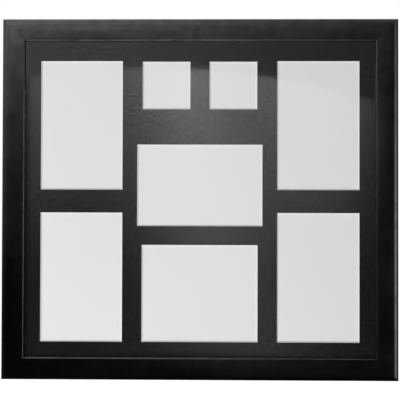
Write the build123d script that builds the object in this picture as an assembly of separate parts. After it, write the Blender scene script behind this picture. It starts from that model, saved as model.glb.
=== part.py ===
from build123d import *

import os
from math import cos, radians, sin, tan

# A wide collage photo frame to hang on a wall: four mitred rails of one moulding round a clear sheet,
# a mount board with eight bevel cut windows, eight photo sheets and a board locked by turn buttons.
# X runs to the viewer's right, Z up, and the front faces -Y. The origin is the seat at the top of the
# upper hanger's ring, where a nail carries the frame. All lengths are in millimetres.

# Moulding
RAIL_WIDTH = 24.7
LIP_DEPTH = 3.0
REBATE_WIDTH = 7.0
SHOULDER_RADIUS = 6.0
CROWN_RISE = 0.2
ARRIS_RADIUS = 0.9
BACK_EDGE_RADIUS = 0.6

# Sheets stacked in the rebate, from the front to the back
SHEET_CLEARANCE = 1.0
GLAZING_THICKNESS = 2.0
MOUNT_THICKNESS = 1.4
PHOTO_THICKNESS = 0.25
FILLER_THICKNESS = 3.0
BOARD_THICKNESS = 3.0

# Windows of the mount and the card that shows round and between them, measured on its face.
# The uprights stand in the outer columns. The middle column has two squares over the centre window
# and the wide window under it, whose ends step in from those of the centre window.
TOP_MARGIN = 21.5
BOTTOM_MARGIN = 16.7
SIDE_MARGIN = 17.6
UPRIGHT_WIDTH = 89.0
UPRIGHT_HEIGHT = 140.0
UPRIGHT_GAP = 24.9
COLUMN_GAP = 16.0
CENTRE_WIDTH = 136.0
CENTRE_HEIGHT = 88.5
SQUARE_DROP = 0.6
SQUARE_STEP = 5.7
SQUARE_GAP = 20.8
UNDER_SQUARES_GAP = 38.4
WIDE_STEP = 5.1
OVER_WIDE_GAP = 20.5
BEVEL_ANGLE = 45.0
PHOTO_OVERLAP = 6.2

# Wedge nails that lock the mitres from behind
NAIL_LEG = 4.5
NAIL_THICKNESS = 0.8
NAIL_HEIGHT = 7.0
NAIL_SINK = 0.3
NAIL_FIRST_INSET = 3.6
NAIL_PITCH = 6.0
NAIL_CLEARANCE = 0.02

# Turn buttons and the screws that they turn on
BUTTON_SPREAD_SHARE = 0.515
BUTTON_THICKNESS = 1.0
BUTTON_PIVOT_RADIUS = 4.6
BUTTON_TIP_RADIUS = 3.4
BUTTON_REACH = 15.0
BUTTON_BEND_RADIUS = 5.0
BUTTON_BEND_ANGLE = 28.0
BUTTON_BEND_FROM_TIP = 3.6
BUTTON_LIFT = 0.15
SCREW_RADIUS = 1.7
SCREW_CLEARANCE = 0.08
SCREW_HEAD_GAP = 0.1
SCREW_HEAD_RADIUS = 3.1
SCREW_HEAD_HEIGHT = 1.5
SCREW_RIM_HEIGHT = 0.5
SCREW_LENGTH = 9.0
SCREW_POINT_LENGTH = 3.0
SCREW_CROSS_LENGTH = 3.2
SCREW_CROSS_WIDTH = 0.7
SCREW_CROSS_DEPTH = 0.9
PILOT_CLEARANCE = 0.02

# Ring hangers: a strap folded round a wire ring and riveted through the board
HANG_DROP = 28.7
WIRE_RADIUS = 1.0
RING_HALF_WIDTH = 7.6
RING_LEG = 3.6
RING_CORNER_RADIUS = 2.2
STRAP_THICKNESS = 0.8
STRAP_WIDTH = 10.0
STRAP_LENGTH = 19.6
EYE_CLEARANCE = 0.08
EYE_CLOSE_ANGLE = 50.0
EYE_NECK_RADIUS = 1.2
RIVET_RADIUS = 1.5
RIVET_CLEARANCE = 0.02
RIVET_HEAD_RADIUS = 2.4
RIVET_HEAD_HEIGHT = 0.7
RIVET_FLANGE_RADIUS = 2.3
RIVET_FLANGE_HEIGHT = 0.4
RIVET_FIRST_INSET = 7.0
RIVET_PITCH = 8.6
POCKET_CLEARANCE = 0.3

# Rubber pads behind the lower corners
PAD_RADIUS = 5.0
PAD_FACE_RADIUS = 4.1
PAD_HEIGHT = 4.0
PAD_EDGE_RADIUS = 0.6
PAD_INSET = 26.0

# How far a cut runs past the surface that it opens
CUT_OVERRUN = 1.0

# Sizes that follow
STACK_DEPTH = GLAZING_THICKNESS + MOUNT_THICKNESS + PHOTO_THICKNESS + FILLER_THICKNESS + BOARD_THICKNESS
RAIL_DEPTH = LIP_DEPTH + STACK_DEPTH
WOOD_WIDTH = RAIL_WIDTH - REBATE_WIDTH

FIELD_WIDTH = CENTRE_WIDTH + 2 * (COLUMN_GAP + UPRIGHT_WIDTH)
FIELD_HEIGHT = 2 * UPRIGHT_HEIGHT + UPRIGHT_GAP
SQUARE_SIZE = (CENTRE_WIDTH - SQUARE_GAP) / 2 - SQUARE_STEP
WIDE_WIDTH = CENTRE_WIDTH - 2 * WIDE_STEP
OVER_CENTRE = SQUARE_DROP + SQUARE_SIZE + UNDER_SQUARES_GAP
WIDE_HEIGHT = FIELD_HEIGHT - OVER_CENTRE - CENTRE_HEIGHT - OVER_WIDE_GAP

SIGHT_WIDTH = FIELD_WIDTH + 2 * SIDE_MARGIN
SIGHT_HEIGHT = FIELD_HEIGHT + TOP_MARGIN + BOTTOM_MARGIN
SHEET_WIDTH = SIGHT_WIDTH + 2 * (REBATE_WIDTH - SHEET_CLEARANCE)
SHEET_HEIGHT = SIGHT_HEIGHT + 2 * (REBATE_WIDTH - SHEET_CLEARANCE)
FRAME_WIDTH = SIGHT_WIDTH + 2 * RAIL_WIDTH
FRAME_HEIGHT = SIGHT_HEIGHT + 2 * RAIL_WIDTH

EYE_INNER_RADIUS = WIRE_RADIUS + EYE_CLEARANCE
EYE_OUTER_RADIUS = EYE_INNER_RADIUS + STRAP_THICKNESS
SEAT_ABOVE_EYE = RING_LEG + RING_HALF_WIDTH - WIRE_RADIUS

# The ring's wire is centred on y = 0, and its eye rolls on the back of the board
BACK_Y = -EYE_OUTER_RADIUS
BOARD_FRONT_Y = BACK_Y - BOARD_THICKNESS
FILLER_FRONT_Y = BOARD_FRONT_Y - FILLER_THICKNESS
MOUNT_BACK_Y = FILLER_FRONT_Y - PHOTO_THICKNESS
MOUNT_FRONT_Y = MOUNT_BACK_Y - MOUNT_THICKNESS
CENTRE_Z = HANG_DROP - FRAME_HEIGHT / 2

WALLWARDS = (0, 1, 0)
FRONTWARDS = Vector(0, -1, 0)
FROM_BASE = (Align.CENTER, Align.CENTER, Align.MIN)
FROM_TOP = (Align.CENTER, Align.CENTER, Align.MAX)


def slab(outline, back_y, thickness):
    """A flat piece with this outline, from back_y forwards."""
    return extrude(Plane.XZ.offset(-back_y) * outline, thickness, dir=FRONTWARDS)


def rectangle_at(x, z, width, height):
    """A rectangle placed from the middle of the frame."""
    return Pos(x, CENTRE_Z + z) * Rectangle(width, height)


def behind(x, z, towards):
    """A plane on the back of the frame, facing the wall, whose own Y runs towards (x, z)."""
    along = Vector(towards[0], 0, towards[1])
    across = along.cross(Vector(*WALLWARDS))
    return Plane(origin=(x, BACK_Y, CENTRE_Z + z), x_dir=across, z_dir=WALLWARDS)


# Rails

def rail_profile():
    """The moulding's section: X inwards from the outer edge, Y forwards from the back."""
    edge_height = RAIL_DEPTH - CROWN_RISE
    outer_edge = (0, edge_height)
    sight_edge = (RAIL_WIDTH, edge_height)
    crown = ThreePointArc(outer_edge, (RAIL_WIDTH / 2, RAIL_DEPTH), sight_edge)
    rest = Polyline(
        sight_edge,
        (RAIL_WIDTH, STACK_DEPTH),
        (WOOD_WIDTH, STACK_DEPTH),
        (WOOD_WIDTH, 0),
        (0, 0),
        outer_edge,
    )
    section = make_face(crown + rest)
    corners = section.vertices()
    section = fillet(corners.sort_by_distance(outer_edge)[0], SHOULDER_RADIUS)
    section = fillet(section.vertices().sort_by_distance(sight_edge)[0], ARRIS_RADIUS)
    return fillet(section.vertices().sort_by_distance((0, 0))[0], BACK_EDGE_RADIUS)


def mitred_length(length):
    """A length of moulding along Z from its outer corner at the origin, mitred at both ends."""
    blank = extrude(rail_profile(), length)
    reach = RAIL_WIDTH + CUT_OVERRUN
    outline = Polygon(
        (-CUT_OVERRUN, -CUT_OVERRUN),
        (reach, reach),
        (reach, length - reach),
        (-CUT_OVERRUN, length + CUT_OVERRUN),
        align=None,
    )
    keep = extrude(Plane.XZ.offset(-RAIL_DEPTH - CUT_OVERRUN) * outline, RAIL_DEPTH + 2 * CUT_OVERRUN)
    return blank & keep


def rail(inwards, half_size, length):
    """One rail, whose outer edge stands half_size from the middle against the inwards direction."""
    inwards = Vector(*inwards)
    along = inwards.cross(FRONTWARDS)
    start = Vector(0, BACK_Y, CENTRE_Z) - inwards * half_size - along * (length / 2)
    body = Plane(origin=start, x_dir=inwards, z_dir=along) * mitred_length(length)
    body -= corner_nails(NAIL_CLEARANCE)
    return body - pilot_holes()


# Wedge nails

def nail_outline(sign_x, sign_z, inset):
    """A wedge nail seen from behind: two legs at a right angle from a point on the mitre."""
    far = inset + NAIL_LEG
    near = inset + NAIL_THICKNESS
    steps = [(inset, inset), (far, inset), (far, near), (near, near), (near, far), (inset, far)]
    points = []
    for from_side, from_end in steps:
        x = sign_x * (FRAME_WIDTH / 2 - from_side)
        z = CENTRE_Z + sign_z * (FRAME_HEIGHT / 2 - from_end)
        points.append((x, z))
    return Polygon(*points, align=None)


def corner_nails(clearance=0):
    """The eight wedge nails, or their slots where a clearance is given."""
    nails = []
    for sign_x in (-1, 1):
        for sign_z in (-1, 1):
            for inset in (NAIL_FIRST_INSET, NAIL_FIRST_INSET + NAIL_PITCH):
                outline = nail_outline(sign_x, sign_z, inset)
                if clearance:
                    grown = offset(outline, clearance, kind=Kind.INTERSECTION)
                    nails.append(slab(grown, BACK_Y, NAIL_SINK + NAIL_HEIGHT + clearance))
                else:
                    nails.append(slab(outline, BACK_Y - NAIL_SINK, NAIL_HEIGHT))
    return nails


# Sheets in the rebate

def windows():
    """Each window's middle, measured from the middle of the frame, and its size on the mount's face."""
    top = SIGHT_HEIGHT / 2 - TOP_MARGIN
    bottom = top - FIELD_HEIGHT
    column = (FIELD_WIDTH - UPRIGHT_WIDTH) / 2
    square_column = (SQUARE_GAP + SQUARE_SIZE) / 2
    upper = top - UPRIGHT_HEIGHT / 2
    lower = bottom + UPRIGHT_HEIGHT / 2
    square = top - SQUARE_DROP - SQUARE_SIZE / 2
    centre = top - OVER_CENTRE - CENTRE_HEIGHT / 2
    wide = bottom + WIDE_HEIGHT / 2
    return {
        "top_left": (-column, upper, UPRIGHT_WIDTH, UPRIGHT_HEIGHT),
        "bottom_left": (-column, lower, UPRIGHT_WIDTH, UPRIGHT_HEIGHT),
        "top_right": (column, upper, UPRIGHT_WIDTH, UPRIGHT_HEIGHT),
        "bottom_right": (column, lower, UPRIGHT_WIDTH, UPRIGHT_HEIGHT),
        "small_left": (-square_column, square, SQUARE_SIZE, SQUARE_SIZE),
        "small_right": (square_column, square, SQUARE_SIZE, SQUARE_SIZE),
        "centre": (0, centre, CENTRE_WIDTH, CENTRE_HEIGHT),
        "bottom_centre": (0, wide, WIDE_WIDTH, WIDE_HEIGHT),
    }


def glazing_sheet():
    return slab(rectangle_at(0, 0, SHEET_WIDTH, SHEET_HEIGHT), MOUNT_FRONT_Y, GLAZING_THICKNESS)


def window_cut(x, z, width, height):
    """A tapering block that leaves a sloped bevel all round a window of this size on the face."""
    slope = tan(radians(BEVEL_ANGLE))
    grow = 2 * CUT_OVERRUN * slope
    shrink = 2 * (MOUNT_THICKNESS + CUT_OVERRUN) * slope
    front = rectangle_at(x, z, width + grow, height + grow)
    back = rectangle_at(x, z, width - shrink, height - shrink)
    return loft([
        Plane.XZ.offset(CUT_OVERRUN - MOUNT_FRONT_Y) * front,
        Plane.XZ.offset(-CUT_OVERRUN - MOUNT_BACK_Y) * back,
    ])


def mount_board():
    board = slab(rectangle_at(0, 0, SHEET_WIDTH, SHEET_HEIGHT), MOUNT_BACK_Y, MOUNT_THICKNESS)
    return board - [window_cut(*window) for window in windows().values()]


def photo(x, z, width, height):
    """A photo sheet behind a window, larger than it all round."""
    spare = 2 * PHOTO_OVERLAP
    return slab(rectangle_at(x, z, width + spare, height + spare), FILLER_FRONT_Y, PHOTO_THICKNESS)


def filler_card():
    """The sheet of pulp card that presses the photo sheets on to the mount."""
    return slab(rectangle_at(0, 0, SHEET_WIDTH, SHEET_HEIGHT), BOARD_FRONT_Y, FILLER_THICKNESS)


def backing_board():
    """The board with the rivets' holes, each with a pocket on the front for the rivet's flange."""
    board = slab(rectangle_at(0, 0, SHEET_WIDTH, SHEET_HEIGHT), BACK_Y, BOARD_THICKNESS)
    pocket_depth = RIVET_FLANGE_HEIGHT + POCKET_CLEARANCE
    for place in rivet_places():
        hole = Cylinder(RIVET_RADIUS + RIVET_CLEARANCE, BOARD_THICKNESS, align=FROM_TOP)
        pocket = Cylinder(RIVET_FLANGE_RADIUS + POCKET_CLEARANCE, pocket_depth, align=FROM_BASE)
        board -= place * hole
        board -= place * Pos(0, 0, -BOARD_THICKNESS) * pocket
    return board


# Turn buttons and screws

def button_places():
    """Each turn button's pivot as a plane on the back of its rail, whose Y runs towards the board."""
    rail_x = (FRAME_WIDTH - WOOD_WIDTH) / 2
    rail_z = (FRAME_HEIGHT - WOOD_WIDTH) / 2
    along_x = BUTTON_SPREAD_SHARE * FRAME_WIDTH / 2
    along_z = BUTTON_SPREAD_SHARE * FRAME_HEIGHT / 2
    return {
        "top_left": behind(-along_x, rail_z, (0, -1)),
        "top_right": behind(along_x, rail_z, (0, -1)),
        "bottom_left": behind(-along_x, -rail_z, (0, 1)),
        "bottom_right": behind(along_x, -rail_z, (0, 1)),
        "left_upper": behind(-rail_x, along_z, (1, 0)),
        "left_lower": behind(-rail_x, -along_z, (1, 0)),
        "right_upper": behind(rail_x, along_z, (-1, 0)),
        "right_lower": behind(rail_x, -along_z, (-1, 0)),
    }


def turn_button():
    """A flat strip with round ends and a raised tip, its pivot over the origin and its tip along Y."""
    tip_centre = Pos(0, BUTTON_REACH - BUTTON_TIP_RADIUS)
    ends = Circle(BUTTON_PIVOT_RADIUS) + tip_centre * Circle(BUTTON_TIP_RADIUS)
    outline = make_hull(ends.edges())
    middle = BUTTON_LIFT + BUTTON_THICKNESS / 2
    bend_start = (BUTTON_REACH - BUTTON_BEND_FROM_TIP, middle)
    flat = Line((-BUTTON_PIVOT_RADIUS - CUT_OVERRUN, middle), bend_start)
    bend = JernArc(bend_start, (1, 0), BUTTON_BEND_RADIUS, BUTTON_BEND_ANGLE)
    tip = PolarLine(bend @ 1, BUTTON_BEND_FROM_TIP, direction=bend % 1)
    strip = extrude(
        Plane.YZ * trace(flat + bend + tip, BUTTON_THICKNESS), BUTTON_PIVOT_RADIUS + CUT_OVERRUN, both=True
    )
    hole = Cylinder(SCREW_RADIUS + SCREW_CLEARANCE, RAIL_DEPTH)
    return (strip & extrude(outline, RAIL_DEPTH)) - hole


def screw():
    """A pan head screw that points down the Z axis, its head just over a turn button."""
    seat = BUTTON_LIFT + BUTTON_THICKNESS + SCREW_HEAD_GAP
    rim = seat + SCREW_RIM_HEIGHT
    top = seat + SCREW_HEAD_HEIGHT
    shank = Polyline(
        (0, top),
        (0, -SCREW_LENGTH),
        (SCREW_RADIUS, SCREW_POINT_LENGTH - SCREW_LENGTH),
        (SCREW_RADIUS, seat),
        (SCREW_HEAD_RADIUS, seat),
        (SCREW_HEAD_RADIUS, rim),
    )
    dome = RadiusArc((SCREW_HEAD_RADIUS, rim), (0, top), -dome_radius(SCREW_HEAD_RADIUS, top - rim))
    turned = revolve(Plane.XZ * make_face(shank + dome), Axis.Z)
    cross = Rectangle(SCREW_CROSS_LENGTH, SCREW_CROSS_WIDTH) + Rectangle(SCREW_CROSS_WIDTH, SCREW_CROSS_LENGTH)
    return turned - Pos(0, 0, top - SCREW_CROSS_DEPTH) * extrude(cross, SCREW_HEAD_HEIGHT)


def dome_radius(radius, rise):
    """The radius of the sphere whose cap has this rim radius and rise."""
    return (radius**2 + rise**2) / (2 * rise)


def button_screws():
    return Compound(children=[place * screw() for place in button_places().values()])


def pilot_holes():
    """The holes that the screws are driven into."""
    depth = SCREW_LENGTH + PILOT_CLEARANCE
    hole = Cylinder(SCREW_RADIUS + PILOT_CLEARANCE, depth, align=FROM_TOP)
    return [place * hole for place in button_places().values()]


# Ring hangers

def hanger_places():
    """Each hanger's eye axis as a plane on the back of the board, whose Y runs towards the ring."""
    eye_inset = HANG_DROP + SEAT_ABOVE_EYE
    return {
        "top": behind(0, FRAME_HEIGHT / 2 - eye_inset, (0, 1)),
        "side": behind(FRAME_WIDTH / 2 - eye_inset, 0, (1, 0)),
    }


def rivet_places():
    """The rivets' axes on the back of the board, two for each hanger."""
    insets = (RIVET_FIRST_INSET, RIVET_FIRST_INSET + RIVET_PITCH)
    return [place * Pos(0, -inset, 0) for place in hanger_places().values() for inset in insets]


def hanger_strap():
    """The strap, folded double with a rolled eye round the X axis: Y towards the ring, Z off the board."""
    close = radians(EYE_CLOSE_ANGLE)
    roll_radius = EYE_INNER_RADIUS + STRAP_THICKNESS / 2
    lower_middle = STRAP_THICKNESS / 2
    upper_middle = lower_middle + STRAP_THICKNESS
    neck_top = EYE_OUTER_RADIUS + roll_radius * cos(close)
    neck_drop = neck_top - upper_middle - EYE_NECK_RADIUS * (1 - cos(close))
    lower = Line((-STRAP_LENGTH, lower_middle), (0, lower_middle))
    roll = JernArc(lower @ 1, (1, 0), roll_radius, 180 + EYE_CLOSE_ANGLE)
    neck = PolarLine(roll @ 1, neck_drop / sin(close), direction=roll % 1)
    bend = JernArc(neck @ 1, roll % 1, EYE_NECK_RADIUS, -EYE_CLOSE_ANGLE)
    upper = Line(bend @ 1, (-STRAP_LENGTH, upper_middle))
    section = trace(lower + roll, STRAP_THICKNESS)
    section += trace(neck, STRAP_THICKNESS) + trace(bend, STRAP_THICKNESS) + trace(upper, STRAP_THICKNESS)
    folded = extrude(Plane.YZ * section, STRAP_WIDTH / 2, both=True)
    end_radius = STRAP_WIDTH / 2
    tongue = Pos(0, end_radius - STRAP_LENGTH) * Circle(end_radius)
    tongue += Pos(0, end_radius - STRAP_LENGTH) * Rectangle(
        STRAP_WIDTH, STRAP_LENGTH + EYE_OUTER_RADIUS, align=(Align.CENTER, Align.MIN)
    )
    strap = folded & extrude(tongue, 2 * EYE_OUTER_RADIUS + CUT_OVERRUN)
    hole = Cylinder(RIVET_RADIUS + RIVET_CLEARANCE, 2 * STRAP_LENGTH)
    for inset in (RIVET_FIRST_INSET, RIVET_FIRST_INSET + RIVET_PITCH):
        strap -= Pos(0, -inset, 0) * hole
    return strap


def hanger_ring():
    """The wire ring: a straight bar in the eye, round corners, short legs and a half round bow."""
    bar_end = RING_HALF_WIDTH - RING_CORNER_RADIUS
    bar = Line((-bar_end, 0), (bar_end, 0))
    right_corner = JernArc(bar @ 1, (1, 0), RING_CORNER_RADIUS, 90)
    right_leg = Line(right_corner @ 1, (RING_HALF_WIDTH, RING_LEG))
    bow = ThreePointArc(
        (RING_HALF_WIDTH, RING_LEG), (0, RING_LEG + RING_HALF_WIDTH), (-RING_HALF_WIDTH, RING_LEG)
    )
    left_leg = Line(bow @ 1, (-RING_HALF_WIDTH, RING_CORNER_RADIUS))
    left_corner = JernArc(left_leg @ 1, (0, -1), RING_CORNER_RADIUS, 90)
    path = bar + right_corner + right_leg + bow + left_leg + left_corner
    wire = sweep(Plane.YZ * Circle(WIRE_RADIUS), path=path)
    return Pos(0, 0, EYE_OUTER_RADIUS) * wire


def rivet():
    """A rivet down the Z axis, with a domed head on the strap and a flange in the board's pocket."""
    strap_top = 2 * STRAP_THICKNESS
    flange_top = RIVET_FLANGE_HEIGHT - BOARD_THICKNESS
    crown = strap_top + RIVET_HEAD_HEIGHT
    body = Polyline(
        (0, crown),
        (0, -BOARD_THICKNESS),
        (RIVET_FLANGE_RADIUS, -BOARD_THICKNESS),
        (RIVET_FLANGE_RADIUS, flange_top),
        (RIVET_RADIUS, flange_top),
        (RIVET_RADIUS, strap_top),
        (RIVET_HEAD_RADIUS, strap_top),
    )
    dome = RadiusArc(
        (RIVET_HEAD_RADIUS, strap_top), (0, crown), -dome_radius(RIVET_HEAD_RADIUS, RIVET_HEAD_HEIGHT)
    )
    return revolve(Plane.XZ * make_face(body + dome), Axis.Z)


def hanger_rivets():
    return Compound(children=[place * rivet() for place in rivet_places()])


# Wall pads

def wall_pad(sign_x):
    """A tapered rubber pad stuck behind a lower corner, with a flat face for the wall."""
    place = behind(sign_x * (FRAME_WIDTH / 2 - PAD_INSET), WOOD_WIDTH / 2 - FRAME_HEIGHT / 2, (0, 1))
    outline = Polygon((0, 0), (PAD_RADIUS, 0), (PAD_FACE_RADIUS, PAD_HEIGHT), (0, PAD_HEIGHT), align=None)
    edge = outline.vertices().sort_by_distance((PAD_FACE_RADIUS, PAD_HEIGHT))[0]
    return place * revolve(Plane.XZ * fillet(edge, PAD_EDGE_RADIUS), Axis.Z)


def pieces():
    """Every node's name with its shape."""
    made = {
        "rail_top": rail((0, 0, -1), FRAME_HEIGHT / 2, FRAME_WIDTH),
        "rail_bottom": rail((0, 0, 1), FRAME_HEIGHT / 2, FRAME_WIDTH),
        "rail_left": rail((1, 0, 0), FRAME_WIDTH / 2, FRAME_HEIGHT),
        "rail_right": rail((-1, 0, 0), FRAME_WIDTH / 2, FRAME_HEIGHT),
        "corner_v_nails": Compound(children=corner_nails()),
        "glazing_sheet": glazing_sheet(),
        "mount_board": mount_board(),
        "filler_card": filler_card(),
        "backing_board": backing_board(),
        "button_screws": button_screws(),
        "hanger_rivets": hanger_rivets(),
        "wall_pad_left": wall_pad(-1),
        "wall_pad_right": wall_pad(1),
    }
    for name, window in windows().items():
        made["photo_" + name] = photo(*window)
    for name, place in button_places().items():
        made["turn_button_" + name] = place * turn_button()
    for name, place in hanger_places().items():
        made["hanger_strap_" + name] = place * hanger_strap()
        made["hanger_ring_" + name] = place * hanger_ring()
    return made


os.makedirs("parts", exist_ok=True)
for node, shape in pieces().items():
    export_step(shape, "parts/" + node + ".step")
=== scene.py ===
"""Finishes for a collage photo frame: lacquered moulding, clear sheet, cut mount, blank photo sheets,
backing board, turn buttons and ring hangers. Laid out as an add-on and run as a script."""

from math import radians

import bmesh
import bpy
import numpy as np
from bpy.props import FloatProperty, FloatVectorProperty, PointerProperty
from mathutils import Matrix, Vector

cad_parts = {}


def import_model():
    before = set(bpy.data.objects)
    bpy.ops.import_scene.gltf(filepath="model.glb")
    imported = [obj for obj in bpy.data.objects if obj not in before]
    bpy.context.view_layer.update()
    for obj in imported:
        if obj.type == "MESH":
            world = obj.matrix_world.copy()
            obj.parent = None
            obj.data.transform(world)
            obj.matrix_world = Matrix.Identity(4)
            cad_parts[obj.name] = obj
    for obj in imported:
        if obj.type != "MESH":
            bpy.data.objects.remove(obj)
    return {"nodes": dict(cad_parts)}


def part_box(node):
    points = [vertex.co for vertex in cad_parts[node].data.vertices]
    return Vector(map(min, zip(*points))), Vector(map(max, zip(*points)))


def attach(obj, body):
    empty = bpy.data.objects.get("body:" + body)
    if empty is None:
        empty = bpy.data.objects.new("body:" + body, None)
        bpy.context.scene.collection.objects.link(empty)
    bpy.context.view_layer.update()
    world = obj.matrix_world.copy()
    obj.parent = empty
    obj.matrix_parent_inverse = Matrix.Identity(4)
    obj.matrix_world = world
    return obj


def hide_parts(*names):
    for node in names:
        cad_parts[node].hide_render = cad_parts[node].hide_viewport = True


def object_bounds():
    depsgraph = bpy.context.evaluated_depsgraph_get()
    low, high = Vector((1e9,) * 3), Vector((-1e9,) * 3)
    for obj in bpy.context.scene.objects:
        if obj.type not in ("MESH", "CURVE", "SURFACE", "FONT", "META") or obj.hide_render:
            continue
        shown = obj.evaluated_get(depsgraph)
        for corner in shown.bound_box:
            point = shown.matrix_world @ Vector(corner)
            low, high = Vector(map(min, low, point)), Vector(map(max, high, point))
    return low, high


bl_info = {
    "name": "Collage Frame Finishes",
    "version": (1, 0, 0),
    "blender": (4, 5, 0),
    "location": "3D View > Sidebar > Collage Frame",
    "description": "Finishes a wall collage photo frame and sets it on a plain pale stage",
    "category": "Object",
}

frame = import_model()
NODES = frame["nodes"]
CAD_LOW, CAD_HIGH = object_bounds()
MIDDLE = (CAD_LOW + CAD_HIGH) / 2

# Lengths are in metres, and angles in radians where they aren't named degrees.
# The moulding's section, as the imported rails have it
RAIL_WIDTH, WOOD_WIDTH = 0.0247, 0.0177
RAIL_DEPTH, REBATE_DEPTH = 0.01265, 0.00965
CROWN_RISE, SHOULDER, ARRIS, BACK_EDGE = 0.0002, 0.006, 0.0009, 0.0006

# The steps of the section's arcs, the loops along a rail, and the width of the strips beside the
# rounds that keep the shading of the flats even
BACK_STEPS, SHOULDER_STEPS, CROWN_STEPS, ARRIS_STEPS = 5, 22, 14, 12
RAIL_LOOPS = 24
GUARD = 0.0002
SHARP_ANGLE = radians(30)

# The clear sheet stands off the mount by a film of air, and its edges are seamed
AIR_FILM, SEAM = 0.00005, 0.0002

# How far a cutter reaches past the face that it opens, and how near two places count as one
OVERSHOOT, TOUCH, WELD = 0.001, 0.00001, 0.000001

# The camera of the photograph: its place, its turn, tilt and lean, and its lens and sensor in millimetres
CAMERA_ACROSS, CAMERA_UP = 0.0136, -0.18125
CAMERA_TURN, CAMERA_TILT, CAMERA_LEAN = 0.0143, 0.0138, 0.0026
LENS, SENSOR = 76.5, 36.0

# The stage: the floor's height, and how far the light cards stand from the hanging point
FLOOR_UP, CARD_REACH, STRIP_REACH = -1.15, 1.9, 1.7

# Colours that aren't settings: plain white and the moulding's thinly painted back
WHITE, DULL_BACK = (1.0, 1.0, 1.0, 1.0), (0.012, 0.012, 0.012, 1.0)


# Node building

class Nodes:
    """Short calls for the nodes of one tree. Inputs take a plain value or another node's socket."""

    def __init__(self, tree):
        self.tree = tree

    def feed(self, socket, value):
        """Links a socket to an input, or sets the input's own value."""
        if isinstance(value, bpy.types.NodeSocket):
            self.tree.links.new(value, socket)
        else:
            socket.default_value = value

    def add(self, kind, settings=None, **inputs):
        """A node with its settings, and its inputs by name with spaces as underscores."""
        made = self.tree.nodes.new("ShaderNode" + kind)
        for name, value in (settings or {}).items():
            setattr(made, name, value)
        for name, value in inputs.items():
            self.feed(made.inputs[name.replace("_", " ")], value)
        return made

    def math(self, operation, *values):
        """The result of a Math node."""
        made = self.add("Math", {"operation": operation})
        for socket, value in zip(made.inputs, values):
            self.feed(socket, value)
        return made.outputs[0]

    def remap(self, value, low, high, to_low, to_high):
        """value taken smoothly from the range low to high to the range to_low to to_high."""
        made = self.add("MapRange", {"interpolation_type": "SMOOTHSTEP"}, Value=value,
                        From_Min=low, From_Max=high, To_Min=to_low, To_Max=to_high)
        return made.outputs["Result"]

    def blend(self, share, first, second):
        """The colour that goes from first to second as share goes from 0 to 1."""
        made = self.add("Mix", {"data_type": "RGBA"})
        # The node has sockets for each kind of data, and these are the share's and the colours'
        for index, value in ((0, share), (6, first), (7, second)):
            self.feed(made.inputs[index], value)
        return made.outputs[2]

    def noise(self, place, scale, detail=2.0, roughness=0.5):
        """Cloudy noise about 0.5, with scale in repeats to the metre."""
        made = self.add("TexNoise", Vector=place, Scale=scale, Detail=detail, Roughness=roughness)
        return made.outputs["Fac"]

    def drawn_out(self, place, scale, settings=None, turn=0.0):
        """A place stretched by the scale along its axes and turned about its second axis."""
        made = self.add("Mapping", settings, Vector=place, Scale=scale, Rotation=(0.0, turn, 0.0))
        return made.outputs[0]

    def axes(self, vector):
        """The three numbers of a vector, by the axis's letter."""
        return self.add("SeparateXYZ", Vector=vector).outputs

    def bump(self, height, depth):
        """A normal bumped by height, which is full at depth metres."""
        return self.add("Bump", Height=height, Distance=depth).outputs["Normal"]

    def effect(self, name, place, scale):
        """The mask of a shared effect, with scale in repeats to the metre."""
        if name not in bpy.data.node_groups:
            EFFECTS[name]()
        made = self.tree.nodes.new("ShaderNodeGroup")
        made.node_tree = bpy.data.node_groups[name]
        self.feed(made.inputs["Vector"], place)
        self.feed(made.inputs["Scale"], scale)
        return made.outputs["Mask"]

    def surface(self, shader, kind="OutputMaterial"):
        """Shows a shader as the tree's surface."""
        self.feed(self.add(kind).inputs["Surface"], shader.outputs[0])

    def principled(self, **inputs):
        """Shows a Principled shader with these inputs."""
        self.surface(self.add("BsdfPrincipled", **inputs))


def colour(values, share=1.0):
    """A colour as the four numbers of a node's colour, made lighter or darker by share."""
    return (*(min(1.0, share * value) for value in values[:3]), 1.0)


def new_material(name):
    """An empty material, the calls for its nodes and its texture coordinates."""
    material = bpy.data.materials.new(name)
    material.use_nodes = True
    material.node_tree.nodes.clear()
    nodes = Nodes(material.node_tree)
    return material, nodes, nodes.add("TexCoord").outputs


def dress(names, material):
    """Puts the material in every slot of these CAD nodes."""
    for name in names:
        for slot in NODES[name].material_slots:
            slot.material = material


def named(start):
    """The CAD nodes whose names begin so."""
    return sorted(name for name in NODES if name.startswith(start))


# Shared effects

def new_effect(name):
    """An empty node group that makes a mask from a place and a scale: the calls for its nodes, the two
    sockets that it is given and the input that takes the mask."""
    tree = bpy.data.node_groups.new(name, "ShaderNodeTree")
    tree.interface.new_socket("Vector", in_out="INPUT", socket_type="NodeSocketVector")
    tree.interface.new_socket("Scale", in_out="INPUT", socket_type="NodeSocketFloat")
    tree.interface.new_socket("Mask", in_out="OUTPUT", socket_type="NodeSocketFloat")
    given = tree.nodes.new("NodeGroupInput").outputs
    mask = tree.nodes.new("NodeGroupOutput").inputs["Mask"]
    return Nodes(tree), given["Vector"], given["Scale"], mask


def make_speckle():
    """Fine grain: two sizes of cloudy noise, one eight times finer, as a mask about 0.5."""
    nodes, place, scale, mask = new_effect("speckle")
    coarse = nodes.noise(place, scale)
    grain = nodes.noise(place, nodes.math("MULTIPLY", scale, 8.0), detail=1.0)
    nodes.feed(mask, nodes.math("MULTIPLY_ADD", grain, 0.5, nodes.math("MULTIPLY", coarse, 0.5)))


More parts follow.
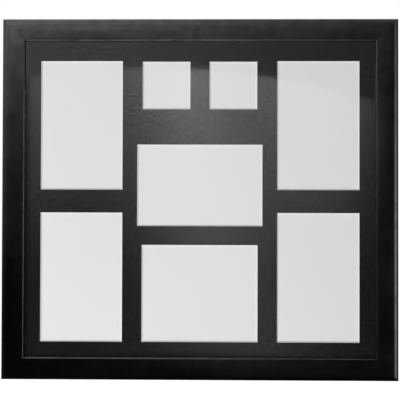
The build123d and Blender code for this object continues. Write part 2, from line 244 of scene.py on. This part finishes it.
def make_handling():
    """Handling marks: soft smears that come and go over a hand's width, as a mask from 0 to 1."""
    nodes, place, scale, mask = new_effect("handling")
    broad = nodes.noise(place, scale, detail=3.0, roughness=0.6)
    fine = nodes.noise(place, nodes.math("MULTIPLY", scale, 9.0))
    both = nodes.math("MULTIPLY_ADD", fine, 0.35, broad)
    nodes.feed(mask, nodes.remap(both, 0.5, 0.85, 0.0, 1.0))


def make_scuffs():
    """Fine scratches on plated metal: noise drawn out along two directions, kept where it is high."""
    nodes, place, scale, mask = new_effect("scuffs")
    as_texture = {"vector_type": "TEXTURE"}
    first = nodes.noise(nodes.drawn_out(place, (1.0, 1.0, 15.0), as_texture, 0.5), scale)
    second = nodes.noise(nodes.drawn_out(place, (18.0, 1.0, 1.0), as_texture, 0.3), scale)
    nodes.feed(mask, nodes.remap(nodes.math("MAXIMUM", first, second), 0.6, 0.78, 0.0, 1.0))


EFFECTS = {"speckle": make_speckle, "handling": make_handling, "scuffs": make_scuffs}


# Pieces worked out with numpy

def grid_mesh(name, points, ring=False):
    """A mesh of four-sided faces over a grid of points, rows by columns by three. With ring, the last
    column joins the first, and one face closes each end. Faces turn outwards where rows run round a
    shape's back to its front."""
    rows, columns = points.shape[:2]
    number = np.arange(rows * columns).reshape(rows, columns)
    if ring:
        number = np.concatenate([number, number[:, :1]], axis=1)
    faces = np.stack([number[:-1, :-1], number[:-1, 1:], number[1:, 1:], number[1:, :-1]], axis=-1)
    faces = faces.reshape(-1, 4).tolist()
    if ring:
        faces += [number[0, -2::-1].tolist(), number[-1, :-1].tolist()]
    mesh = bpy.data.meshes.new(name)
    mesh.from_pydata(points.reshape(-1, 3).tolist(), [], faces)
    return mesh


def new_piece(name, mesh, material, body, replaced):
    """A finished piece that rides on a body and stands for CAD nodes."""
    made = bpy.data.objects.new(name, mesh)
    bpy.context.scene.collection.objects.link(made)
    made.data.materials.append(material)
    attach(made, body)
    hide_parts(*replaced)
    return made


def seamed_sheet(name, low, high, seam):
    """A flat sheet between two corners whose edges are seamed: a rectangle carried from the back to the
    front, drawn in by the seam on its first and last loop."""
    depths = np.array([high[1], high[1] - seam, low[1] + seam, low[1]])
    inset = np.array([seam, 0.0, 0.0, seam])
    left, right = low[0] + inset, high[0] - inset
    bottom, top = low[2] + inset, high[2] - inset
    across = np.stack([left, right, right, left], axis=1)
    up = np.stack([bottom, bottom, top, top], axis=1)
    points = np.stack([across, np.broadcast_to(depths[:, None], across.shape), up], axis=-1)
    return grid_mesh(name, points, ring=True)


def arc(centre, radius, start, end, steps):
    """Points of a circle's arc, its angles in radians and evenly stepped."""
    turn = np.linspace(start, end, steps + 1)
    return np.stack([centre[0] + radius * np.cos(turn), centre[1] + radius * np.sin(turn)], axis=1)


def crown_fillet(inset, radius, crown_centre, crown_radius):
    """The middle of a fillet that touches the crown's arc from inside, and the angle where it does."""
    rise = np.sqrt((crown_radius - radius) ** 2 - (inset - crown_centre[0]) ** 2)
    return (inset, crown_centre[1] + rise), np.arctan2(rise, inset - crown_centre[0])


def moulding_section():
    """The section as a closed run of points, inset from the outer edge and height from the back: a
    small round at the back edge, the flat side, the round shoulder, the crown as one shallow arc, the
    small arris at the sight edge, the inner wall and the rebate."""
    half = RAIL_WIDTH / 2
    crown_radius = (half ** 2 + CROWN_RISE ** 2) / (2 * CROWN_RISE)
    crown = (half, RAIL_DEPTH - crown_radius)
    shoulder, shoulder_end = crown_fillet(SHOULDER, SHOULDER, crown, crown_radius)
    arris, arris_start = crown_fillet(RAIL_WIDTH - ARRIS, ARRIS, crown, crown_radius)
    return np.concatenate([
        [(WOOD_WIDTH, 0.0), (BACK_EDGE + GUARD, 0.0)],
        arc((BACK_EDGE, BACK_EDGE), BACK_EDGE, -np.pi / 2, -np.pi, BACK_STEPS),
        [(0.0, BACK_EDGE + GUARD), (0.0, shoulder[1] - GUARD)],
        arc(shoulder, SHOULDER, np.pi, shoulder_end, SHOULDER_STEPS),
        arc(crown, crown_radius, shoulder_end, arris_start, CROWN_STEPS)[1:-1],
        arc(arris, ARRIS, arris_start, 0.0, ARRIS_STEPS),
        [(RAIL_WIDTH, arris[1] - GUARD), (RAIL_WIDTH, REBATE_DEPTH), (WOOD_WIDTH, REBATE_DEPTH)],
    ])


def distances(points):
    """How far along a run of points each of them stands."""
    return np.concatenate([[0.0], np.cumsum(np.linalg.norm(np.diff(points, axis=0), axis=1))])


def sight_edge_run():
    """Where the arris starts, and where the inner wall starts and ends, as distances round the section.
    The section's last three points are the wall's start, the wall's end and the rebate's corner, and
    the points of the arris come just before them."""
    around = distances(moulding_section())
    wall_start = len(around) - 3
    arris_start = wall_start - (ARRIS_STEPS + 1)
    return [float(around[point]) for point in (arris_start, wall_start, wall_start + 1)]


def rail_mesh(name, corner, inwards, length):
    """One mitred rail: the section carried along the outer edge from corner to corner, where each point
    stops short of the corner by its own inset, so both ends are cut at 45 degrees. Its UV map holds the
    distance along the rail and the distance round the section, in metres."""
    section = moulding_section()
    inwards, forwards = np.array(inwards, float), np.array((0.0, -1.0, 0.0))
    along = np.cross(inwards, forwards)
    share = np.linspace(0.0, 1.0, RAIL_LOOPS)[:, None]
    run = section[:, 0] + share * (length - 2 * section[:, 0])
    points = (np.array(corner) + run[..., None] * along
              + section[:, 0, None] * inwards + section[:, 1, None] * forwards)
    mesh = grid_mesh(name, points, ring=True)
    keep_runs(mesh, run, distances(np.concatenate([section, section[:1]])), len(section))
    mesh.shade_smooth()
    mesh.set_sharp_from_angle(angle=SHARP_ANGLE)
    return mesh


def keep_runs(mesh, run, around, columns):
    """Writes the UV map of a rail: each corner's distance along it and round its section, where the
    face that closes the section ends at the full distance and not at nought."""
    corners = np.zeros(len(mesh.loops), np.int32)
    mesh.loops.foreach_get("vertex_index", corners)
    column = corners % columns
    starts = np.zeros(len(mesh.polygons), np.int32)
    sides = np.zeros(len(mesh.polygons), np.int32)
    mesh.polygons.foreach_get("loop_start", starts)
    mesh.polygons.foreach_get("loop_total", sides)
    face = np.repeat(np.arange(len(starts)), sides)
    last = np.maximum.reduceat(column, starts)[face] == columns - 1
    first = np.minimum.reduceat(column, starts)[face] == 0
    wraps = last & first & (column == 0) & (sides[face] == 4)
    values = np.stack([run.ravel()[corners], np.where(wraps, around[-1], around[column])], axis=1)
    layer = mesh.uv_layers.new(name="rail_run")
    layer.data.foreach_set("uv", values.astype(np.float32).ravel())


def fixings_to_cut(back):
    """One mesh of the nails and the screws, to cut their seats with. Every point level with the sunk
    nails' ends or behind them is drawn out past the rails' back, so that the slots come out open."""
    both = bmesh.new()
    for name in ("corner_v_nails", "button_screws"):
        both.from_mesh(NODES[name].data)
    bmesh.ops.remove_doubles(both, verts=both.verts, dist=WELD)
    mesh = bpy.data.meshes.new("seats")
    both.to_mesh(mesh)
    both.free()
    places = np.zeros(3 * len(mesh.vertices), np.float32)
    mesh.vertices.foreach_get("co", places)
    places = places.reshape(-1, 3)
    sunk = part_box("corner_v_nails")[1].y
    places[:, 1] += (back - sunk + OVERSHOOT) * (places[:, 1] > sunk - TOUCH)
    mesh.vertices.foreach_set("co", places.ravel())
    mesh.update()
    return mesh


def cut(made, cutter):
    """Takes the cutter's shape out of a piece and keeps the result as its mesh, without the cutter's own
    normals and with the edges marked sharp again."""
    modifier = made.modifiers.new("seats", "BOOLEAN")
    modifier.object, modifier.solver = cutter, "EXACT"
    bpy.context.view_layer.update()
    result = bpy.data.meshes.new_from_object(made.evaluated_get(bpy.context.evaluated_depsgraph_get()))
    made.modifiers.clear()
    made.data = result
    result.attributes.remove(result.attributes["custom_normal"])
    result.update()
    result.set_sharp_from_angle(angle=SHARP_ANGLE)


# Settings that a user would change

def tint(name, description, default):
    """A colour setting."""
    return FloatVectorProperty(
        name=name, description=description, subtype="COLOR", size=3, min=0, max=1, default=default)


class MouldingFinish(bpy.types.PropertyGroup):
    """The moulding's lacquer"""
    lacquer: tint("Lacquer", "Colour of the lacquer", (0.0008, 0.0008, 0.0009))
    # The lighter colour painted along the sight edge as its highlight and lit inner wall
    highlit: tint("Rubbed edge", "Colour of the rubbed sight edge", (0.17, 0.17, 0.174))
    gloss_roughness: FloatProperty(
        name="Roughness", description="Roughness of clean lacquer", subtype="FACTOR", min=0, max=1,
        default=0.13)


class MountFinish(bpy.types.PropertyGroup):
    """The mount's face paper and core"""
    face: tint("Face", "Colour of the mount's face paper", (0.009, 0.009, 0.0092))
    core: tint("Core", "Colour of the core that the bevels show", (0.8, 0.79, 0.77))


class SheetFinish(bpy.types.PropertyGroup):
    """The photo sheets"""
    paper: tint("Paper", "Colour of the blank photo sheets", (0.79, 0.79, 0.79))


class BackFinish(bpy.types.PropertyGroup):
    """The board, the card under it and the fixings"""
    filler: tint("Filler card", "Colour of the pulp card under the board", (0.42, 0.31, 0.20))
    board: tint("Fibreboard", "Colour of the backing board", (0.30, 0.185, 0.10))
    plating: tint("Plating", "Colour of the turn buttons, straps and rings", (0.62, 0.62, 0.60))
    brass: tint("Brass", "Colour of the screws", (0.68, 0.47, 0.19))
    rubber: tint("Rubber", "Colour of the wall pads", (0.02, 0.02, 0.021))


class StageSettings(bpy.types.PropertyGroup):
    """The camera and the lights"""
    camera_distance: FloatProperty(
        name="Camera distance", description="From the hanging point to the camera", unit="LENGTH",
        min=0.1, default=0.93253)
    key_power: FloatProperty(
        name="Key power", description="Power of each soft lamp", unit="POWER", min=0, default=28.0)
    ambient: FloatProperty(
        name="Ambient", description="Strength of the even light from all round", min=0, default=0.35)


# Finishes

def sight_edge_highlight(nodes, place, around):
    """A painted highlight of the sight edge, as a mask where the lacquer is painted lighter and smoother in
    place of the light that the edge catches: half along the arris of the sight edge, and more on the inner
    wall behind it. The arris is uneven, and weaker to the right, low down and on the side rails. The wall
    is weaker low down and on the right rail."""
    edge_start, wall_start, wall_end = sight_edge_run()
    across, _, up = nodes.axes(place)
    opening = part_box("rail_top")[1].x - RAIL_WIDTH
    side_start, side_end = opening - 0.0046, opening - 0.0011
    ahead, soft = 0.0006, 0.0002
    # The arris's share of the painted highlight, faded where less light falls on it
    arris = nodes.remap(around, edge_start - ahead, edge_start + soft, 0.0, 0.5)
    for share in (
            nodes.remap(nodes.noise(place, 55.0, detail=3.0, roughness=0.6), 0.35, 0.6, 0.45, 1.0),
            nodes.remap(across, -side_end, -side_start, 0.2, 1.0),
            nodes.remap(across, -0.02, 0.12, 1.0, 0.42),
            nodes.remap(across, side_start, side_end, 1.0, 0.5),
            nodes.remap(up, -0.33, -0.06, 0.5, 1.0)):
        arris = nodes.math("MULTIPLY", arris, share)
    # The inner wall's share of the painted highlight, standing in for its lit face
    wall_share = nodes.remap(up, -0.33, -0.08, 0.1, 0.75)
    wall = nodes.remap(around, wall_start, wall_start + soft, 0.0, wall_share)
    wall = nodes.math("MULTIPLY", wall, nodes.remap(across, side_start, side_end, 1.0, 0.3))
    before_rebate = nodes.math("LESS_THAN", around, wall_end + TOUCH)
    return nodes.math("MULTIPLY", nodes.math("MAXIMUM", arris, wall), before_rebate)


def black_lacquer(finish):
    """Black gloss lacquer with smears, fine streaks along the rail, a cloudy sheen and a faint peel, dull
    on the back, and lighter and smoother along the sight edge as a painted highlight."""
    material, nodes, coords = new_material("black_lacquer")
    place = coords["Object"]
    runs = nodes.add("UVMap", {"uv_map": "rail_run"}).outputs["UV"]
    smears = nodes.effect("handling", place, 14.0)
    streaks = nodes.noise(nodes.drawn_out(runs, (9.0, 160.0, 1.0)), 1.0, detail=3.0, roughness=0.6)
    back = nodes.remap(nodes.axes(coords["Normal"])["Y"], 0.6, 0.9, 0.0, 1.0)
    # The sight edge's painted highlight: a mask that lowers the roughness and lightens the colour
    edge_highlight = sight_edge_highlight(nodes, place, nodes.axes(runs)["Y"])
    roughness = nodes.math("MULTIPLY_ADD", smears, 0.05, finish.gloss_roughness)
    roughness = nodes.math("MULTIPLY_ADD", streaks, 0.04, roughness)
    roughness = nodes.remap(back, 0.0, 1.0, roughness, 0.62)
    roughness = nodes.remap(edge_highlight, 0.0, 1.0, roughness, 0.12)
    shade = nodes.blend(smears, colour(finish.lacquer), colour(finish.lacquer, 1.7))
    shade = nodes.blend(back, shade, DULL_BACK)
    # Painted highlight: the sight edge takes the lighter highlight colour
    shade = nodes.blend(edge_highlight, shade, colour(finish.highlit))
    clouds = nodes.noise(place, 70.0, detail=3.0, roughness=0.6)
    sheen = nodes.math("MULTIPLY_ADD", clouds, 0.6, nodes.math("MULTIPLY", streaks, 0.4))
    peel = nodes.effect("speckle", place, 140.0)
    nodes.principled(Base_Color=shade, Roughness=roughness, IOR=1.5, Normal=nodes.bump(peel, 0.00001),
                     Specular_IOR_Level=nodes.remap(sheen, 0.3, 0.7, 0.44, 0.8))
    return material


class COLLAGE_OT_moulding(bpy.types.Operator):
    """Four mitred rails in black gloss lacquer, with a painted highlight along the sight edge, cut out for
    the fixings
    """
    bl_idname = "collage.moulding"
    bl_label = "Lacquer the moulding"

    def execute(self, context):
        material = black_lacquer(context.scene.collage_moulding)
        low, high = (corner.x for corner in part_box("rail_top"))
        bottom, top = (corner.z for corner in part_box("rail_left"))
        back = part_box("rail_top")[1].y
        cutter = bpy.data.objects.new("seats", fixings_to_cut(back))
        context.scene.collection.objects.link(cutter)
        runs = {
            "top": ((high, back, top), (0, 0, -1), high - low),
            "bottom": ((low, back, bottom), (0, 0, 1), high - low),
            "left": ((low, back, top), (1, 0, 0), top - bottom),
            "right": ((high, back, bottom), (-1, 0, 0), top - bottom),
        }
        for side, (corner, inwards, length) in runs.items():
            name = "moulding_" + side
            mesh = rail_mesh(name, corner, inwards, length)
            made = new_piece(name, mesh, material, "frame", ["rail_" + side])
            cut(made, cutter)
        bpy.data.objects.remove(cutter)
        return {"FINISHED"}


class COLLAGE_OT_glazing(bpy.types.Operator):
    """Clear glazing that lets the lamps through to what it covers"""
    bl_idname = "collage.glazing"
    bl_label = "Fit the clear sheet"

    def execute(self, context):
        material, nodes, coords = new_material("clear_sheet")
        smears = nodes.effect("handling", coords["Object"], 9.0)
        glass = nodes.add(
            "BsdfPrincipled", Base_Color=(0.98, 0.99, 0.985, 1.0), Transmission_Weight=1.0, IOR=1.38,
            Roughness=nodes.math("MULTIPLY", smears, 0.02))
        rays = nodes.add("LightPath").outputs
        mixed = nodes.add("MixShader")
        nodes.feed(mixed.inputs[0], nodes.math("MAXIMUM", rays["Is Shadow Ray"], rays["Is Diffuse Ray"]))
        nodes.feed(mixed.inputs[1], glass.outputs[0])
        nodes.feed(mixed.inputs[2], nodes.add("BsdfTransparent").outputs[0])
        nodes.surface(mixed)
        low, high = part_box("glazing_sheet")
        high.y -= AIR_FILM
        mesh = seamed_sheet("clear_sheet", low, high, SEAM)
        new_piece("clear_sheet", mesh, material, "frame", ["glazing_sheet"])
        return {"FINISHED"}


class COLLAGE_OT_mount(bpy.types.Operator):
    """Black face paper with a fine tooth, and the pale core on bevels and edges"""
    bl_idname = "collage.mount"
    bl_label = "Finish the mount"

    def execute(self, context):
        finish = context.scene.collage_mount
        material, nodes, coords = new_material("mount_card")
        tooth = nodes.effect("speckle", coords["Object"], 330.0)
        face = nodes.remap(nodes.axes(coords["Normal"])["Y"], -0.95, -0.85, 1.0, 0.0)
        paper = nodes.blend(nodes.remap(tooth, 0.4, 0.6, 0.0, 1.0),
                            colour(finish.face, 0.7), colour(finish.face, 1.3))
        core = nodes.blend(tooth, colour(finish.core, 0.95), colour(finish.core))
        face_roughness = nodes.math("MULTIPLY_ADD", tooth, 0.02, 0.03)
        nodes.principled(
            Base_Color=nodes.blend(face, core, paper), Normal=nodes.bump(tooth, 0.0000005),
            Roughness=nodes.remap(face, 0.0, 1.0, 0.8, face_roughness),
            Specular_IOR_Level=nodes.remap(tooth, 0.42, 0.58, 0.6, 1.4))
        dress(["mount_board"], material)
        return {"FINISHED"}


class COLLAGE_OT_sheets(bpy.types.Operator):
    """Blank pale photo paper for the eight windows"""
    bl_idname = "collage.sheets"
    bl_label = "Finish the photo sheets"

    def execute(self, context):
        paper = context.scene.collage_sheet.paper
        material, nodes, coords = new_material("photo_paper")
        fibre = nodes.effect("speckle", coords["Object"], 300.0)
        nodes.principled(
            Base_Color=nodes.blend(fibre, colour(paper, 0.985), colour(paper)),
            Roughness=nodes.remap(fibre, 0.0, 1.0, 0.5, 0.65), Normal=nodes.bump(fibre, 0.000004))
        dress(named("photo_"), material)
        return {"FINISHED"}


class COLLAGE_OT_filler(bpy.types.Operator):
    """Plain brown pulp card with a soft mottle"""
    bl_idname = "collage.filler"
    bl_label = "Finish the filler card"

    def execute(self, context):
        card = context.scene.collage_back.filler
        material, nodes, coords = new_material("pulp_card")
        pulp = nodes.effect("speckle", coords["Object"], 180.0)
        nodes.principled(
            Base_Color=nodes.blend(pulp, colour(card, 0.85), colour(card)),
            Roughness=nodes.remap(pulp, 0.3, 0.7, 0.8, 0.92), Normal=nodes.bump(pulp, 0.00004))
        dress(["filler_card"], material)
        return {"FINISHED"}


class COLLAGE_OT_board(bpy.types.Operator):
    """Brown pressed fibreboard with short fibres, soft clouds and darker flecks"""
    bl_idname = "collage.board"
    bl_label = "Finish the backing board"

    def execute(self, context):
        board = context.scene.collage_back.board
        material, nodes, coords = new_material("pressed_fibreboard")
        place = coords["Object"]
        fibres = nodes.add("TexNoise", Vector=place, Scale=650.0, Detail=4.0, Distortion=1.2).outputs["Fac"]
        clouds = nodes.noise(place, 16.0, detail=4.0, roughness=0.6)
        flecks = nodes.remap(nodes.noise(place, 1500.0), 0.62, 0.75, 0.0, 0.7)
        matted = nodes.remap(fibres, 0.3, 0.7, 0.0, 1.0)
        shade = nodes.blend(matted, colour(board, 0.72), colour(board, 1.22))
        shade = nodes.blend(nodes.math("MULTIPLY", clouds, 0.45), shade, colour(board, 0.8))
        nodes.principled(
            Base_Color=nodes.blend(flecks, shade, colour(board, 0.42)),
            Roughness=nodes.remap(fibres, 0.3, 0.7, 0.62, 0.85), Normal=nodes.bump(fibres, 0.00006))
        dress(["backing_board"], material)
        return {"FINISHED"}


def plated(name, metal, roughness, wear, scale):
    """Plated metal: an even tint with duller clouds, fine scuffs and a faint bump."""
    material, nodes, coords = new_material(name)
    scuffs = nodes.effect("scuffs", coords["Object"], scale)
    grain = nodes.effect("speckle", coords["Object"], scale * 0.3)
    dull = nodes.math("MULTIPLY_ADD", grain, 0.12, roughness)
    nodes.principled(
        Base_Color=nodes.blend(nodes.math("MULTIPLY", grain, 0.6), colour(metal), colour(metal, 0.72)),
        Metallic=1.0, Roughness=nodes.math("MULTIPLY_ADD", scuffs, wear, dull),
        Normal=nodes.bump(grain, 0.000008))
    return material


class COLLAGE_OT_fixings(bpy.types.Operator):
    """Plated turn buttons, brass screws and dull steel nails in the mitres"""
    bl_idname = "collage.fixings"
    bl_label = "Finish buttons, screws and nails"

    def execute(self, context):
        finish = context.scene.collage_back
        dull = colour(finish.plating, 0.8)
        buttons = plated("button_plating", finish.plating, roughness=0.26, wear=0.25, scale=1300.0)
        screws = plated("screw_brass", finish.brass, roughness=0.24, wear=0.2, scale=1500.0)
        nails = plated("nail_steel", dull, roughness=0.42, wear=0.2, scale=600.0)
        dress(named("turn_button_"), buttons)
        dress(["button_screws"], screws)
        dress(["corner_v_nails"], nails)
        return {"FINISHED"}


class COLLAGE_OT_hangers(bpy.types.Operator):
    """Plated straps, bright wire rings and rivets"""
    bl_idname = "collage.hangers"
    bl_label = "Finish the ring hangers"

    def execute(self, context):
        finish = context.scene.collage_back
        bright = colour(finish.plating, 1.15)
        straps = plated("strap_plating", finish.plating, roughness=0.28, wear=0.3, scale=1300.0)
        rings = plated("ring_plating", bright, roughness=0.16, wear=0.25, scale=900.0)
        rivets = plated("rivet_plating", bright, roughness=0.22, wear=0.2, scale=900.0)
        dress(named("hanger_strap_"), straps)
        dress(named("hanger_ring_"), rings)
        dress(["hanger_rivets"], rivets)
        return {"FINISHED"}


class COLLAGE_OT_pads(bpy.types.Operator):
    """Matt black rubber wall pads with a dusty bloom"""
    bl_idname = "collage.pads"
    bl_label = "Finish the wall pads"

    def execute(self, context):
        rubber = context.scene.collage_back.rubber
        material, nodes, coords = new_material("pad_rubber")
        grain = nodes.effect("speckle", coords["Object"], 500.0)
        bloom = nodes.math("MULTIPLY", nodes.effect("handling", coords["Object"], 60.0), 0.5)
        nodes.principled(
            Base_Color=nodes.blend(bloom, colour(rubber), colour(rubber, 2.4)),
            Roughness=nodes.remap(grain, 0.3, 0.7, 0.68, 0.9), Normal=nodes.bump(grain, 0.00003))
        dress(named("wall_pad_"), material)
        return {"FINISHED"}


# Stage

def stage_piece(name, points, material):
    """A stage piece from a grid of points, rows by columns by three."""
    made = bpy.data.objects.new(name, grid_mesh(name, points))
    bpy.context.scene.collection.objects.link(made)
    made.data.materials.append(material)
    return made


def glow_material():
    """Emission by the glow that a light card's points hold."""
    material, nodes, _ = new_material("card_glow")
    strength = nodes.add("Attribute", {"attribute_name": "glow"}).outputs["Fac"]
    nodes.surface(nodes.add("Emission", Strength=strength))
    material.cycles.emission_sampling = "NONE"
    return material


def light_card(name, points, glow, material):
    """A card that shines by its glow at each point, and only in reflections: it stays out of sight, out
    of shadows and out of the even light."""
    made = stage_piece(name, points, material)
    layer = made.data.attributes.new("glow", "FLOAT", "POINT")
    layer.data.foreach_set("value", glow.ravel().astype(np.float32))
    made.visible_camera = made.visible_diffuse = False
    made.visible_shadow = made.visible_volume_scatter = False


def step(values, low, high):
    """A smooth step from 0 at low to 1 at high."""
    share = np.clip((values - low) / (high - low), 0.0, 1.0)
    return share * share * (3.0 - 2.0 * share)


def bell(values, middle, width):
    """A bell of height 1 about its middle, its width as a standard deviation."""
    return np.exp(-0.5 * ((values - middle) / width) ** 2)


def front_glow(across, up):
    """What the clear sheet and the mount mirror, over the card's plane. Under a bowed upper edge lies a
    soft panel that fades downwards, stronger right of the middle and weak at its right end, with a
    bright upright band that widens and leans to the right as it goes down and stops low on the panel.
    Left of the panel are a strip and a brighter zone, and right of it a weaker zone, and they fade
    downwards too. Over the bowed edge is a dim field, stronger far to the left, and above it a bright
    ceiling that fades to the right."""
    foot, band_top, bow_top = -0.45, 0.156, 0.297
    panel_left, panel_right, panel_dim = (-0.603, -0.585), (0.575, 0.64), (0.4, 0.56)
    under = step(bow_top - 0.2 * (across + 0.2) ** 2 - up, -0.012, 0.014)
    fall = np.clip((up - foot) / 0.7, 0.0, 1.1) ** 1.6
    slope = 1.0 + 0.66 * step(across, -0.15, 0.35) - 1.16 * step(across, *panel_dim)
    base = 0.024 - 0.012 * step(across, 0.3, 0.56) + 0.055 * bell(across, 0.25, 0.13) + 0.46 * fall * slope
    band_power = np.clip(0.47 + 0.5 * up, 0.0, 0.62) * step(up, -0.665, -0.635)
    band = band_power * bell(across, -0.06 + 0.15 * (band_top - up), 0.108 + 0.067 * (band_top - up))
    panel = (base + band) * step(across, *panel_left) * (1.0 - step(across, *panel_right))
    rise = np.clip((up - foot) / 0.85, 0.0, 1.2) ** 2
    strip = 0.2 * rise * step(-across, 0.59, 0.6)
    left = 0.82 * rise * step(-across, 0.625, 0.7)
    right = (0.005 + 0.33 * rise) * step(across, *panel_right)
    field = 0.28 - 0.21 * step(across, -0.5, 0.7) + 0.4 * step(-across, 0.6, 0.63)
    ceiling = step(up, 0.38, 0.42) * (1.6 + 0.2 * step(up, 0.45, 0.7))
    ceiling = ceiling * (1.0 - 0.75 * step(across, -0.7, 0.55))
    return under * (panel + strip + left + right) + (1.0 - under) * (field + ceiling)


def front_card(material):
    """The flat light card in front of the frame."""
    across, up = np.meshgrid(np.linspace(-2.2, 2.2, 551), np.linspace(-1.9, 1.9, 476))
    points = np.stack([across, np.full_like(across, -CARD_REACH), up], axis=-1)
    light_card("front_card", points, front_glow(across, up), material)


def side_card(name, first, last, glow_at, material):
    """An upright light strip beside the frame, part of a cylinder round it between two azimuths in
    degrees, whose glow is a function of the azimuth and the height over the frame's hanging point."""
    turn, up = np.meshgrid(np.linspace(first, last, 71), np.linspace(-1.5, 1.2, 55))
    angle = np.radians(turn)
    points = np.stack([STRIP_REACH * np.sin(angle), -STRIP_REACH * np.cos(angle), up], axis=-1)
    light_card(name, points, glow_at(turn, up), material)


def right_glow(turn, up):
    """A tall soft window to the right: one bell across and one upwards, faded in on its inner side."""
    across = bell(turn, 53.0, 20.0) * step(turn, 20.0, 38.0)
    return 3.0 * across * (0.25 + 0.75 * bell(up, -0.3, 0.33))


def left_glow(turn, up):
    """A dim wall to the left, the same all along, that brightens upwards."""
    return np.broadcast_to(0.06 + 0.95 * step(up, -0.65, 0.45) ** 2, turn.shape)


def floor():
    """A plain pale floor well under the hanging frame, left out of reflections."""
    across, along = np.meshgrid(np.linspace(-6.0, 6.0, 13), np.linspace(-0.35, 9.0, 11))
    material, nodes, coords = new_material("pale_floor")
    clouds = nodes.noise(coords["Object"], 2.0, detail=3.0)
    seen = nodes.math("MULTIPLY", nodes.add("LightPath").outputs["Is Camera Ray"], 0.75)
    nodes.principled(
        Base_Color=nodes.blend(clouds, colour(WHITE, 0.8), colour(WHITE, 0.84)), Roughness=0.9,
        Emission_Color=WHITE, Emission_Strength=seen)
    points = np.stack([across, along, np.full_like(across, FLOOR_UP)], axis=-1)
    made = stage_piece("floor", points, material)
    made.visible_glossy = False


def lamp(name, place, size, power):
    """A square soft lamp turned to the frame's middle, which lights surfaces and stays out of their
    reflections."""
    data = bpy.data.lights.new(name, "AREA")
    data.energy, data.size = power, size
    made = bpy.data.objects.new(name, data)
    bpy.context.scene.collection.objects.link(made)
    made.location = place
    made.rotation_euler = (MIDDLE - Vector(place)).to_track_quat("-Z", "Y").to_euler()
    made.visible_camera = made.visible_glossy = made.visible_transmission = False


def world(ambient):
    """White to the camera and behind the frame, an even light on matt surfaces, and for mirrored rays
    a dim room in front that brightens overhead."""
    made = bpy.data.worlds.new("studio")
    bpy.context.scene.world = made
    made.use_nodes = True
    made.node_tree.nodes.clear()
    nodes = Nodes(made.node_tree)
    direction = nodes.axes(nodes.add("TexCoord").outputs["Generated"])
    overhead = nodes.remap(direction["Z"], 0.35, 0.7, 0.02, 1.5)
    leftwards = nodes.remap(direction["X"], -0.25, 0.25, 1.0, 0.3)
    behind = nodes.remap(direction["Y"], 0.72, 0.9, 0.0, 1.0)
    room = nodes.math("MAXIMUM", nodes.math("MULTIPLY", overhead, leftwards), behind)
    rays = nodes.add("LightPath").outputs
    mirrored = nodes.math("MAXIMUM", rays["Is Glossy Ray"], rays["Is Transmission Ray"])
    strength = nodes.blend(mirrored, (ambient, ambient, ambient, 1.0), room)
    strength = nodes.blend(rays["Is Camera Ray"], strength, WHITE)
    nodes.surface(nodes.add("Background", Color=strength), "OutputWorld")
    made.cycles.sampling_method = "NONE"


def camera(distance):
    """The camera of the photograph: nearly square on, a little to the right of the middle."""
    data = bpy.data.cameras.new("camera")
    data.lens, data.sensor_width = LENS, SENSOR
    made = bpy.data.objects.new("camera", data)
    bpy.context.scene.collection.objects.link(made)
    turn = Matrix.Rotation(CAMERA_TURN, 3, "Z") @ Matrix.Rotation(CAMERA_TILT, 3, "X")
    upright = turn @ Matrix.Rotation(radians(90), 3, "X") @ Matrix.Rotation(CAMERA_LEAN, 3, "Z")
    made.matrix_world = Matrix.Translation((CAMERA_ACROSS, -distance, CAMERA_UP)) @ upright.to_4x4()
    bpy.context.scene.camera = made


class COLLAGE_OT_stage(bpy.types.Operator):
    """Pale floor, soft lamps, light cards, white surroundings and the camera"""
    bl_idname = "collage.stage"
    bl_label = "Set the stage"

    def execute(self, context):
        settings = context.scene.collage_stage
        glow = glow_material()
        camera(settings.camera_distance)
        floor()
        front_card(glow)
        side_card("right_card", 20.0, 118.0, right_glow, glow)
        side_card("left_card", -118.0, -51.0, left_glow, glow)
        lamp("key_lamp", place=(-0.8, -1.45, -0.95), size=0.9, power=settings.key_power)
        lamp("back_lamp", place=(0.9, 1.6, 0.9), size=1.2, power=settings.key_power)
        world(settings.ambient)
        context.scene.view_settings.view_transform = "Standard"
        return {"FINISHED"}


# Add-on

OPERATORS = (
    COLLAGE_OT_moulding,
    COLLAGE_OT_glazing,
    COLLAGE_OT_mount,
    COLLAGE_OT_sheets,
    COLLAGE_OT_filler,
    COLLAGE_OT_board,
    COLLAGE_OT_fixings,
    COLLAGE_OT_hangers,
    COLLAGE_OT_pads,
    COLLAGE_OT_stage,
)
SETTINGS = {
    "collage_moulding": MouldingFinish,
    "collage_mount": MountFinish,
    "collage_sheet": SheetFinish,
    "collage_back": BackFinish,
    "collage_stage": StageSettings,
}


class COLLAGE_PT_panel(bpy.types.Panel):
    """The frame's finishes and its stage"""
    bl_idname = "COLLAGE_PT_panel"
    bl_label = "Collage Frame"
    bl_space_type = "VIEW_3D"
    bl_region_type = "UI"
    bl_category = "Collage Frame"

    def draw(self, context):
        for name in SETTINGS:
            group = getattr(context.scene, name)
            for setting in group.bl_rna.properties:
                if setting.identifier not in ("rna_type", "name"):
                    self.layout.prop(group, setting.identifier)
        for operator in OPERATORS:
            self.layout.operator(operator.bl_idname)


CLASSES = (*SETTINGS.values(), *OPERATORS, COLLAGE_PT_panel)


def register():
    """Makes the classes known, and adds the settings to the scene."""
    for made in CLASSES:
        bpy.utils.register_class(made)
    for name, kind in SETTINGS.items():
        setattr(bpy.types.Scene, name, PointerProperty(type=kind))


def unregister():
    """Takes the settings and the classes away again."""
    for name in SETTINGS:
        delattr(bpy.types.Scene, name)
    for made in reversed(CLASSES):
        bpy.utils.unregister_class(made)


def main():
    """Runs every operator in order."""
    register()
    for operator in OPERATORS:
        group, name = operator.bl_idname.split(".")
        getattr(getattr(bpy.ops, group), name)()


if __name__ == "__main__":
    main()
